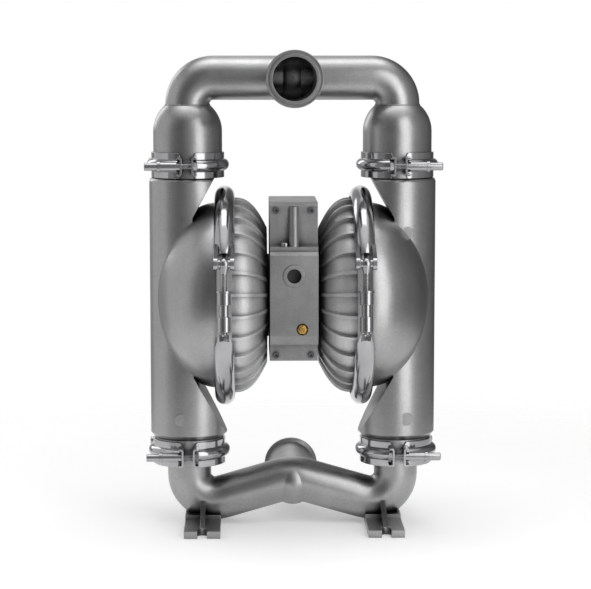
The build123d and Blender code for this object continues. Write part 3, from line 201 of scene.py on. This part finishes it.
def moulded(name, dark, light, rough, grain):
    """A rubber or plastic moulding: slightly mottled, with dust in its corners and a fine matt grain."""
    s = Shade(name)
    s.set(Metallic=0.0, Specular_IOR_Level=0.4)
    colour = s.ramp(s.noise(scale=35.0, detail=4.0), (0.3, dark), (0.7, light))
    dust = s.ramp(s.crevice(reach=0.008), (0.2, 1.25), (0.8, 1.0))
    colour = s.mix("MULTIPLY", 1.0, colour, dust)
    roughness = s.span(s.noise(scale=120.0, detail=3.0), low=rough - 0.06, high=rough + 0.08)
    pores = s.noise(scale=700.0, detail=2.0)
    normal = s.bump(pores, strength=grain, distance=0.0002, normal=s.soft_edges(0.0006))
    return s.finish(colour, roughness, normal)


LOOKS = {
    "cast_stainless": blasted_metal(
        "cast_stainless", (0.370, 0.371, 0.373), (0.450, 0.451, 0.453), rough=0.34, grain=0.22, edge=0.0012
    ),
    "cast_aluminium": blasted_metal(
        "cast_aluminium",
        (0.60, 0.602, 0.606),
        (0.72, 0.722, 0.726),
        rough=0.52,
        grain=0.30,
        edge=0.0012,
        corner_shade=0.45,
        deep=0.8,
    ),
    "cast_block": blasted_metal(
        "cast_block",
        (0.27, 0.272, 0.275),
        (0.45, 0.452, 0.455),
        rough=0.46,
        grain=0.50,
        edge=0.0010,
        corner_shade=0.6,
        lump=0.6,
    ),
    # Near-black metal for the bores: painted shade that stands in for the dark inside of the holes.
    "bore_block": blasted_metal(
        "bore_block", (0.02, 0.02, 0.02), (0.04, 0.04, 0.04), rough=0.45, grain=0.3, edge=0.0004
    ),
    "polished_stainless": polished_metal(
        "polished_stainless", (0.46, 0.46, 0.47), rough=0.12, edge=0.0010, corner_shade=0.6
    ),
    "bright_hardware": polished_metal(
        "bright_hardware", (0.42, 0.42, 0.43), rough=0.15, edge=0.0005, corner_shade=0.6
    ),
    "socket_steel": polished_metal("socket_steel", (0.26, 0.26, 0.27), rough=0.22, edge=0.0004, corner_shade=0.9),
    "machined_stainless": polished_metal("machined_stainless", (0.50, 0.50, 0.51), rough=0.24, edge=0.0004),
    "brass": polished_metal("brass", (0.78, 0.50, 0.14), rough=0.24, edge=0.0006),
    "elastomer": moulded("elastomer", (0.012, 0.012, 0.012), (0.025, 0.025, 0.026), rough=0.55, grain=0.2),
    "ball_elastomer": moulded(
        "ball_elastomer", (0.66, 0.63, 0.56), (0.74, 0.71, 0.64), rough=0.38, grain=0.10
    ),
    "muffler_plastic": moulded(
        "muffler_plastic", (0.02, 0.02, 0.021), (0.035, 0.035, 0.037), rough=0.5, grain=0.35
    ),
}

# Socket screws are duller than the other bright hardware.
DULLER = {"air_valve_screws": "socket_steel", "air_chamber_screws": "socket_steel"}

for part in frame["record"]["subparts"]:
    surface = frame["nodes"][part["node"]].data
    surface.materials.clear()
    surface.materials.append(LOOKS[DULLER.get(part["node"], part["material_slot"])])

# ---------------------------------------------------------------- threads, welds and the air inlet's disc of painted shade

MM = 0.001
COLUMN_X = 146.3 * MM
JOINT_HEIGHTS = (508.0 * MM, 104.5 * MM)
EAR_BOLT_Y = 66.0 * MM
EAR_GAP = 13.0 * MM
BOLT_R = 4.0 * MM
BOLT_PITCH = 1.25 * MM
BOLT_RIDGE = 0.45 * MM
SINK = 0.06 * MM  # how deep a thread's foot sits in the metal
FLANK = 0.46  # half the width of a thread's foot, in pitches
FADE_TURNS = 0.5  # a thread rises to its height over this many turns
CLAMP_X = 95.0 * MM
TEE_TOP = Vector((CLAMP_X, -154.91 * MM, 383.46 * MM))
TEE_DOWN = Vector((0.0, -0.0871, -0.9962)).normalized()
TEE_RUNS = ((13.2 * MM, 22.6 * MM), (90.7 * MM, 3.8 * MM))  # bare stretches of a tee bolt: start, length
INLET_MOUTH = Vector((0.0, -101.3 * MM, 361.0 * MM))
INLET_AXIS = Vector((0, 1, 0))
INLET_R = 9.8 * MM
INLET_PITCH = 1.8 * MM
INLET_RIDGE = -0.9 * MM
INLET_RUN = 8.6 * MM
SHADE_DISC_DEPTH = 9.6 * MM
SHADE_DISC_DISH = 1.1 * MM
SHADE_DISC_WEAVE = 0.12 * MM
SHADE_DISC_RINGS = 12
SHADE_DISC_STEPS = 48
WELD_Z = 590.9 * MM
WELD_RING_R = 30.8 * MM
WELD_R = 0.9 * MM
WELD_RIPPLE = 0.16 * MM
WELD_RIPPLES = 64
WELD_STEPS = 256
WELD_SECTION = 8
SIDES = (1, -1)


def add_piece(name, points, faces, look, smooth=True):
    """A new mesh piece that rides with the pump's body."""
    mesh = bpy.data.meshes.new(name)
    mesh.from_pydata(points, [], faces)
    if smooth:
        mesh.shade_smooth()
    else:
        mesh.shade_flat()
    made = bpy.data.objects.new(name, mesh)
    bpy.context.scene.collection.objects.link(made)
    mesh.materials.append(LOOKS[look])
    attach(made, "pump_body")
    return made


def add_ridge(points, faces, start, axis, radius, height, pitch, length, steps=24):
    """Adds one thread, a triangular ridge wound round an axis; a negative height winds it inside a hole."""
    side = axis.orthogonal().normalized()
    other = axis.cross(side)
    count = int((length / pitch - 1.0) * steps)
    base = len(points)
    for k in range(count + 1):
        angle = math.tau * k / steps
        out = side * math.cos(angle) + other * math.sin(angle)
        fade = min(1.0, k / steps / FADE_TURNS, (count - k) / steps / FADE_TURNS)
        middle = start + axis * (pitch * (0.5 + k / steps))
        for shift, reach in ((-FLANK, 0.0), (0.0, height * fade), (FLANK, 0.0)):
            points.append(middle + axis * (pitch * shift) + out * (radius + reach))
        if k:
            low = base + 3 * k
            for i, j in ((0, 1), (1, 2), (2, 0)):
                faces.append((low - 3 + i, low - 3 + j, low + j, low + i))


def make_ear_bolt_threads():
    """The threads that show between the ears of the small clamps."""
    points, faces = [], []
    for height in JOINT_HEIGHTS:
        for side_x in SIDES:
            for side_y in SIDES:
                start = Vector((side_x * (COLUMN_X - EAR_GAP / 2), side_y * EAR_BOLT_Y, height))
                axis = Vector((side_x, 0, 0))
                add_ridge(points, faces, start, axis, BOLT_R - SINK, BOLT_RIDGE, BOLT_PITCH, EAR_GAP)
    add_piece("ear_bolt_threads", points, faces, "bright_hardware", smooth=False)


def make_tee_bolt_threads():
    """The threads that show on the bolts of the big clamps, above and below their nuts."""
    points, faces = [], []
    for begin, run in TEE_RUNS:
        for side_x in SIDES:
            for side_y in SIDES:
                flip = Vector((side_x, side_y, 1))
                start = (TEE_TOP + TEE_DOWN * begin) * flip
                axis = TEE_DOWN * flip
                add_ridge(points, faces, start, axis, BOLT_R - SINK, BOLT_RIDGE, BOLT_PITCH, run)
    add_piece("tee_bolt_threads", points, faces, "bright_hardware", smooth=False)


def make_air_inlet_thread():
    """The pipe thread inside the air inlet."""
    points, faces = [], []
    add_ridge(
        points, faces, INLET_MOUTH, INLET_AXIS, INLET_R + SINK, INLET_RIDGE, INLET_PITCH, INLET_RUN, steps=48
    )
    # The thread takes the near-black bore look, painted shade inside the hole.
    add_piece("air_inlet_thread", points, faces, "bore_block", smooth=False)


def make_air_inlet_shade_disc():
    """A near-black disc of painted shade at the bottom of the air inlet, dished and woven like wire gauze."""
    points, faces = [INLET_MOUTH + INLET_AXIS * SHADE_DISC_DEPTH], []
    for ring in range(1, SHADE_DISC_RINGS + 1):
        share = ring / SHADE_DISC_RINGS
        for k in range(SHADE_DISC_STEPS):
            angle = math.tau * k / SHADE_DISC_STEPS
            weave = SHADE_DISC_WEAVE if (ring + k) % 2 else -SHADE_DISC_WEAVE
            deep = SHADE_DISC_DEPTH - SHADE_DISC_DISH * share**2 + weave
            radius = share * INLET_R
            points.append(INLET_MOUTH + Vector((math.cos(angle) * radius, deep, math.sin(angle) * radius)))
            after = (k + 1) % SHADE_DISC_STEPS
            outer = 1 + (ring - 1) * SHADE_DISC_STEPS
            inner = outer - SHADE_DISC_STEPS
            if ring == 1:
                faces.append((0, outer + k, outer + after))
            else:
                faces.append((inner + k, outer + k, outer + after, inner + after))
    # The disc takes the near-black plastic look, painted shade of the deep hole.
    add_piece("air_inlet_shade_disc", points, faces, "muffler_plastic")


def make_bell_welds():
    """The weld between each end of the top pipe and its bell, with the ripples of the bead."""
    points, faces = [], []
    for side_x in SIDES:
        base = len(points)
        for k in range(WELD_STEPS):
            angle = math.tau * k / WELD_STEPS
            out = Vector((math.cos(angle), math.sin(angle), 0))
            bead = WELD_R + WELD_RIPPLE * math.sin(WELD_RIPPLES * angle)
            for i in range(WELD_SECTION):
                turn = math.tau * i / WELD_SECTION
                middle = Vector((side_x * COLUMN_X, 0, WELD_Z + bead * math.sin(turn)))
                points.append(middle + out * (WELD_RING_R + bead * math.cos(turn)))
                corners = ((k, i), (k + 1, i), (k + 1, i + 1), (k, i + 1))
                faces.append([base + (a % WELD_STEPS) * WELD_SECTION + b % WELD_SECTION for a, b in corners])
    add_piece("bell_welds", points, faces, "cast_stainless")


make_ear_bolt_threads()
make_tee_bolt_threads()
make_air_inlet_thread()
make_air_inlet_shade_disc()
make_bell_welds()

# ---------------------------------------------------------------- studio

FLOOR_LIFT = 0.32  # glow that brings the floor up to the white of the backdrop
FLOOR_REACH = 1.25
FLOOR_FADE = (0.45, 1.20)  # the floor turns clear between these distances from the middle
FLOOR_CORNERS = 64
FLOOR_DROP = 0.0004
LIGHT_AIM = Vector((0, 0, 0.33))

# Each softbox's name, place, width, height and radiance.
SOFTBOXES = (
    ("key_right_front", (0.44, -0.66, 0.46), 0.42, 1.40, 1.9),
    ("fill_left", (-1.10, 0.10, 0.55), 1.30, 1.50, 0.45),
    ("overhead", (0.00, 0.10, 1.90), 1.20, 0.70, 1.7),
    ("back_left", (-1.50, 1.90, 1.30), 0.80, 1.40, 2.0),
)

# How bright the room is round the horizon, by the angle from the front, with the right positive.
ROOM = (
    (-180, 1.00),
    (-165, 0.40),
    (-110, 0.30),
    (-70, 0.34),
    (-50, 0.34),
    (-36, 0.17),
    (-12, 0.14),
    (6, 0.40),
    (30, 0.52),
    (50, 0.52),
    (75, 0.36),
    (110, 0.22),
    (145, 0.09),
    (168, 0.18),
    (180, 1.00),
)
CEILING = 1.1
CEILING_EDGE = (0.70, 0.93)  # from wall to ceiling, by the upward part of the direction
FLOOR_SHADE = 0.40
FLOOR_EDGE = (-0.10, -0.60)  # from wall to floor
BACKDROP_EDGE = (0.962, 1.0)  # edge of the backdrop, by the rearward part of the direction


def smooth_step(tree, source, start, full, level):
    """A value that rises smoothly from 0 at start to level at full."""
    made = tree.nodes.new("ShaderNodeMapRange")
    made.interpolation_type = "SMOOTHSTEP"
    for name, value in (("From Min", start), ("From Max", full), ("To Min", 0.0), ("To Max", level)):
        made.inputs[name].default_value = value
    tree.links.new(source, made.inputs["Value"])
    return made.outputs["Result"]


def fill_sockets(tree, pairs):
    """Links or sets each socket, as its value is another node's output or a number."""
    for socket, value in pairs:
        if isinstance(value, bpy.types.NodeSocket):
            tree.links.new(value, socket)
        else:
            socket.default_value = value


def reckon(tree, operation, *values):
    """The output of a Math node."""
    made = tree.nodes.new("ShaderNodeMath")
    made.operation = operation
    fill_sockets(tree, zip(made.inputs, values))
    return made.outputs[0]


def mix_levels(tree, factor, first, second):
    """A value that goes from first to second with the factor."""
    made = tree.nodes.new("ShaderNodeMix")
    fill_sockets(tree, zip((made.inputs[0], made.inputs[2], made.inputs[3]), (factor, first, second)))
    return made.outputs[0]


def make_floor_paint():
    """White paint that glows enough to meet the backdrop, and turns clear towards its rim."""
    paint = Shade("floor_paint")
    paint.set(Roughness=0.95, Specular_IOR_Level=0.1)
    mottle = paint.ramp(paint.noise(scale=3.0), (0.3, 0.80), (0.7, 0.82))
    paint.link(mottle, paint.shader.inputs["Base Color"])
    path = paint.node("ShaderNodeLightPath")
    seen = path.outputs["Is Camera Ray"]
    for kind in ("Is Glossy Ray", "Is Transmission Ray"):
        seen = reckon(paint.tree, "MAXIMUM", seen, path.outputs[kind])
    lift = paint.node("ShaderNodeEmission")
    paint.link(reckon(paint.tree, "MULTIPLY", seen, FLOOR_LIFT), lift.inputs["Strength"])
    lit = paint.node("ShaderNodeAddShader")
    paint.link(paint.shader.outputs[0], lit.inputs[0])
    paint.link(lift.outputs[0], lit.inputs[1])
    length = paint.node("ShaderNodeVectorMath", operation="LENGTH")
    paint.link(paint.place, length.inputs[0])
    faded = paint.node("ShaderNodeMixShader")
    paint.link(smooth_step(paint.tree, length.outputs["Value"], *FLOOR_FADE, 1.0), faded.inputs["Fac"])
    paint.link(lit.outputs[0], faded.inputs[1])
    paint.link(paint.node("ShaderNodeBsdfTransparent").outputs[0], faded.inputs[2])
    paint.link(faded.outputs[0], paint.out.inputs["Surface"])
    return paint.mat


def make_floor():
    """A pale disc just below the pump's feet."""
    turns = [math.tau * k / FLOOR_CORNERS for k in range(FLOOR_CORNERS)]
    rim = [Vector((math.cos(turn), math.sin(turn), 0)) * FLOOR_REACH for turn in turns]
    mesh = bpy.data.meshes.new("floor")
    mesh.from_pydata(rim, [], [list(range(FLOOR_CORNERS))])
    mesh.materials.append(make_floor_paint())
    made = bpy.data.objects.new("floor", mesh)
    bpy.context.scene.collection.objects.link(made)
    made.location.z = -FLOOR_DROP
    return made


def make_softbox(name, place, width, height, radiance):
    """A panel of even light that faces the middle of the pump."""
    data = bpy.data.lights.new(name, "AREA")
    data.shape = "RECTANGLE"
    data.size = width
    data.size_y = height
    data.energy = radiance * math.pi * width * height
    lamp = bpy.data.objects.new(name, data)
    bpy.context.scene.collection.objects.link(lamp)
    lamp.location = place
    lamp.rotation_mode = "QUATERNION"
    lamp.rotation_quaternion = (LIGHT_AIM - Vector(place)).to_track_quat("-Z", "Y")
    lamp.visible_camera = False


def make_world():
    """The room that lights the pump, with the white backdrop that the camera sees."""
    world = bpy.data.worlds.new("studio")
    world.use_nodes = True
    tree = world.node_tree
    tree.nodes.clear()
    split = tree.nodes.new("ShaderNodeSeparateXYZ")
    tree.links.new(tree.nodes.new("ShaderNodeTexCoord").outputs["Generated"], split.inputs[0])
    across, along, upward = split.outputs
    turn = reckon(tree, "ARCTAN2", across, reckon(tree, "MULTIPLY", along, -1.0))
    turn = reckon(tree, "MULTIPLY_ADD", turn, 1 / math.tau, 0.5)
    walls = tree.nodes.new("ShaderNodeValToRGB")
    walls.color_ramp.interpolation = "EASE"
    while len(walls.color_ramp.elements) < len(ROOM):
        walls.color_ramp.elements.new(0.5)
    for element, (angle, bright) in zip(walls.color_ramp.elements, ROOM):
        element.position = angle / 360 + 0.5
        element.color = (bright, bright, bright, 1.0)
    tree.links.new(turn, walls.inputs["Fac"])
    level = mix_levels(tree, smooth_step(tree, upward, *FLOOR_EDGE, 1.0), walls.outputs["Color"], FLOOR_SHADE)
    level = mix_levels(tree, smooth_step(tree, upward, *CEILING_EDGE, 1.0), level, CEILING)

    # Glossy rays see the white backdrop where it stands, behind the pump, and the room everywhere else.
    path = tree.nodes.new("ShaderNodeLightPath")
    behind = smooth_step(tree, along, *BACKDROP_EDGE, 1.0)
    backdrop = reckon(tree, "MAXIMUM", path.outputs["Is Camera Ray"], path.outputs["Is Transmission Ray"])
    mirrored = reckon(tree, "MULTIPLY", path.outputs["Is Glossy Ray"], behind)
    backdrop = reckon(tree, "MAXIMUM", backdrop, mirrored)
    sky = tree.nodes.new("ShaderNodeBackground")
    sky.inputs["Color"].default_value = (1, 1, 1, 1)
    tree.links.new(mix_levels(tree, backdrop, level, 1.0), sky.inputs["Strength"])
    tree.links.new(sky.outputs[0], tree.nodes.new("ShaderNodeOutputWorld").inputs["Surface"])
    return world


floor = make_floor()
for box in SOFTBOXES:
    make_softbox(*box)
bpy.context.scene.world = make_world()
bpy.context.scene.view_settings.view_transform = "Standard"
